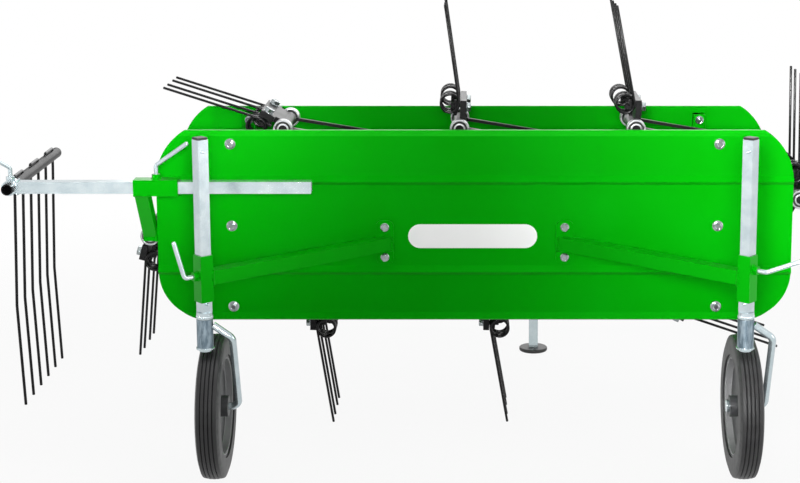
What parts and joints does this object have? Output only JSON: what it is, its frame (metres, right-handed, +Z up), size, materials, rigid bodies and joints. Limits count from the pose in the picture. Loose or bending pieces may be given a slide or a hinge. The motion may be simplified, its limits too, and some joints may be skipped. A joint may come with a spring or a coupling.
{
  "type": "belt rake",
  "caption": "Belt rake attachment with sprung tines on an endless belt between two ridged sheet panels, caster wheels on posts, a side comb and a rear hitch flange",
  "frame": {"origin": "centre of the hitch flange's rear face, where the drive shaft comes out", "axes": "+Z up, +Y to the rear towards the tractor, +X to the right of the front view"},
  "size_m": [1.5355, 0.97, 0.83],
  "materials": {
    "green_paint": "smooth bright green powder coat",
    "galvanised": "bright zinc plated steel",
    "bright_steel": "plain bright steel rod",
    "black_steel": "satin black paint",
    "spring_steel": "gloss black painted spring wire",
    "belt_rubber": "matt black fabric reinforced belt",
    "tyre": "matt black solid rubber",
    "rim_plastic": "dark grey moulded plastic",
    "black_plastic": "black moulded plastic"
  },
  "bodies": {
    "frame": {"front_panel": "green_paint", "rear_panel": "green_paint", "uprights": "green_paint", "front_rail": "green_paint", "rear_rail": "green_paint", "cross_tubes": "green_paint", "chain_case": "green_paint", "hitch": "green_paint", "comb_bracket": "green_paint", "wheel_arm_left": "green_paint", "wheel_arm_right": "green_paint", "belt": "belt_rubber", "drive_pulley": "black_steel", "idler_pulley": "black_steel", "tine_carriers": "black_steel", "tine_holders": "black_steel", "spring_tines": "spring_steel", "post_clamp_left": "bright_steel", "post_clamp_right": "bright_steel", "bar_clamp": "bright_steel", "stand_clamp": "bright_steel", "drive_shaft": "bright_steel"},
    "post_left": {"post_left": "galvanised", "post_cap_left": "black_plastic"},
    "post_right": {"post_right": "galvanised", "post_cap_right": "black_plastic"},
    "caster_left": {"caster_left": "galvanised"},
    "caster_right": {"caster_right": "galvanised"},
    "wheel_left": {"wheel_rim_left": "rim_plastic", "tyre_left": "tyre"},
    "wheel_right": {"wheel_rim_right": "rim_plastic", "tyre_right": "tyre"},
    "comb_bar": {"comb_bar": "galvanised", "ring_clamp": "bright_steel"},
    "comb": {"comb_tube": "black_steel", "comb_plug": "black_plastic", "comb_tines": "spring_steel"},
    "stand": {"stand_leg": "galvanised", "stand_foot": "black_plastic"}
  },
  "joints": [
    {"name": "post_left_height", "type": "slide", "parent": "frame", "child": "post_left", "axis": [0, 0, -1], "range_m": [0, 0.178]},
    {"name": "caster_left_swivel", "type": "hinge", "parent": "post_left", "child": "caster_left", "pos_m": [-0.474, -0.862, -0.1], "axis": [0, 0, 1], "continuous": true},
    {"name": "wheel_left_spin", "type": "hinge", "parent": "caster_left", "child": "wheel_left", "pos_m": [-0.467, -0.8, -0.27], "axis": [1, 0, 0], "continuous": true},
    {"name": "post_right_height", "type": "slide", "parent": "frame", "child": "post_right", "axis": [0, 0, -1], "range_m": [0, 0.178]},
    {"name": "caster_right_swivel", "type": "hinge", "parent": "post_right", "child": "caster_right", "pos_m": [0.474, -0.862, -0.1], "axis": [0, 0, 1], "continuous": true},
    {"name": "wheel_right_spin", "type": "hinge", "parent": "caster_right", "child": "wheel_right", "pos_m": [0.481, -0.8, -0.27], "axis": [1, 0, 0], "continuous": true},
    {"name": "comb_slide", "type": "slide", "parent": "frame", "child": "comb_bar", "axis": [-1, 0, 0], "range_m": [-0.15, 0.22]},
    {"name": "comb_tilt", "type": "hinge", "parent": "comb_bar", "child": "comb", "pos_m": [-0.855, -0.67, 0.107], "axis": [0, 1, 0], "range_deg": [0, 90]},
    {"name": "stand_slide", "type": "slide", "parent": "frame", "child": "stand", "axis": [0, 0, 1], "range_m": [0, 0.25]}
  ]
}
